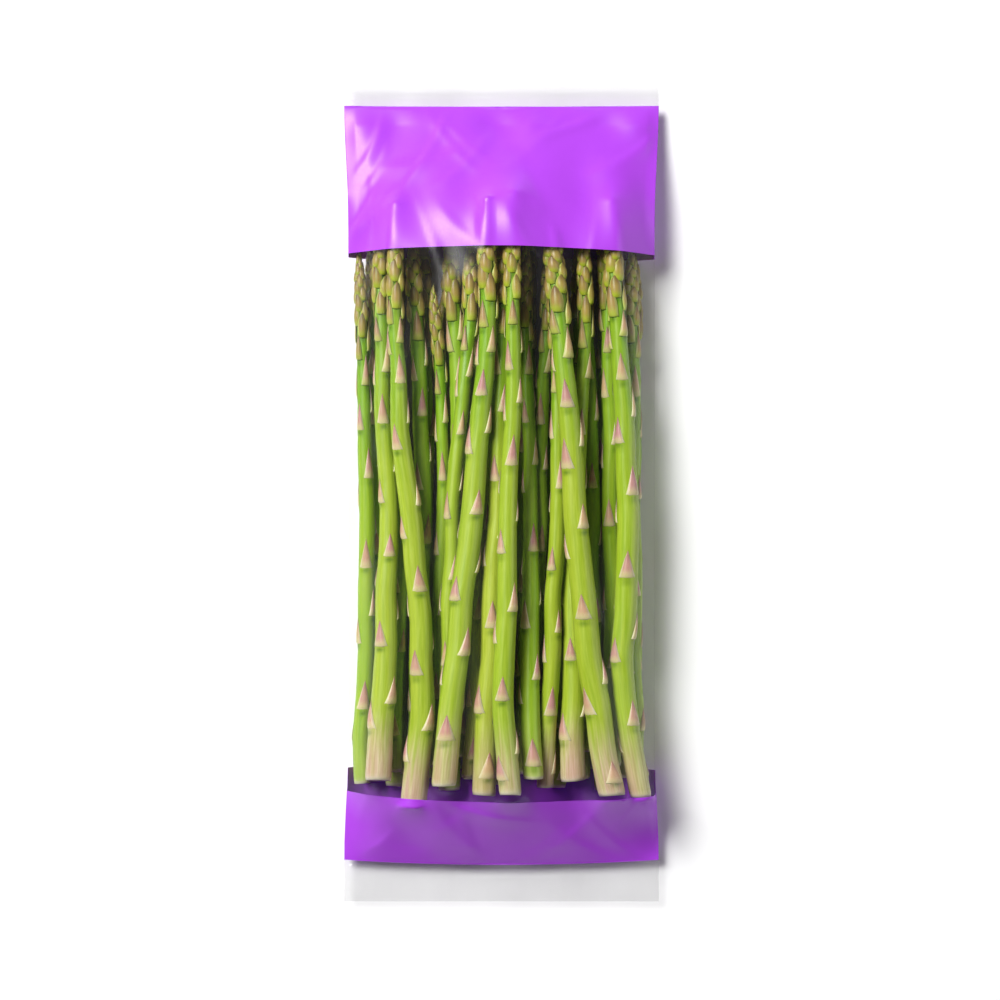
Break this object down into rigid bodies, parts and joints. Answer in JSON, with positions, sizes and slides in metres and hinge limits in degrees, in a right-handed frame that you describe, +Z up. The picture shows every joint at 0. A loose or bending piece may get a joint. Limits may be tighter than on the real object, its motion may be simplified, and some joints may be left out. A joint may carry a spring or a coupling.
{
  "type": "bag of asparagus spears",
  "caption": "Bundle of fresh green asparagus spears, heads all one way, sealed in a flat clear film bag with plain purple printed bands at both ends, lying on its back.",
  "frame": {"origin": "on the surface that the bag lies on, under the middle of the bag", "axes": "+X across the bag to the right, +Y along the spears towards their tips, +Z up out of the front panel"},
  "size_m": [0.127, 0.33, 0.0409],
  "materials": {
    "asparagus_skin": "fresh waxy plant skin, satin",
    "bag_film": "clear heat-sealed polyethylene film, glossy",
    "bag_print": "opaque purple ink printed on the film, glossy"
  },
  "bodies": {
    "root": {"spear_01": "asparagus_skin", "spear_02": "asparagus_skin", "spear_03": "asparagus_skin", "spear_04": "asparagus_skin", "spear_05": "asparagus_skin", "spear_06": "asparagus_skin", "spear_07": "asparagus_skin", "spear_08": "asparagus_skin", "spear_09": "asparagus_skin", "spear_10": "asparagus_skin", "spear_11": "asparagus_skin", "spear_12": "asparagus_skin", "spear_13": "asparagus_skin", "spear_14": "asparagus_skin", "spear_15": "asparagus_skin", "spear_16": "asparagus_skin", "spear_17": "asparagus_skin", "spear_18": "asparagus_skin", "spear_19": "asparagus_skin", "spear_20": "asparagus_skin", "spear_21": "asparagus_skin", "spear_22": "asparagus_skin", "spear_23": "asparagus_skin", "spear_24": "asparagus_skin", "spear_25": "asparagus_skin", "spear_26": "asparagus_skin", "spear_27": "asparagus_skin", "spear_28": "asparagus_skin", "spear_29": "asparagus_skin", "spear_30": "asparagus_skin", "spear_31": "asparagus_skin", "spear_32": "asparagus_skin", "spear_33": "asparagus_skin", "bag_front_panel": "bag_film", "bag_back_panel": "bag_film"}
  },
  "joints": []
}
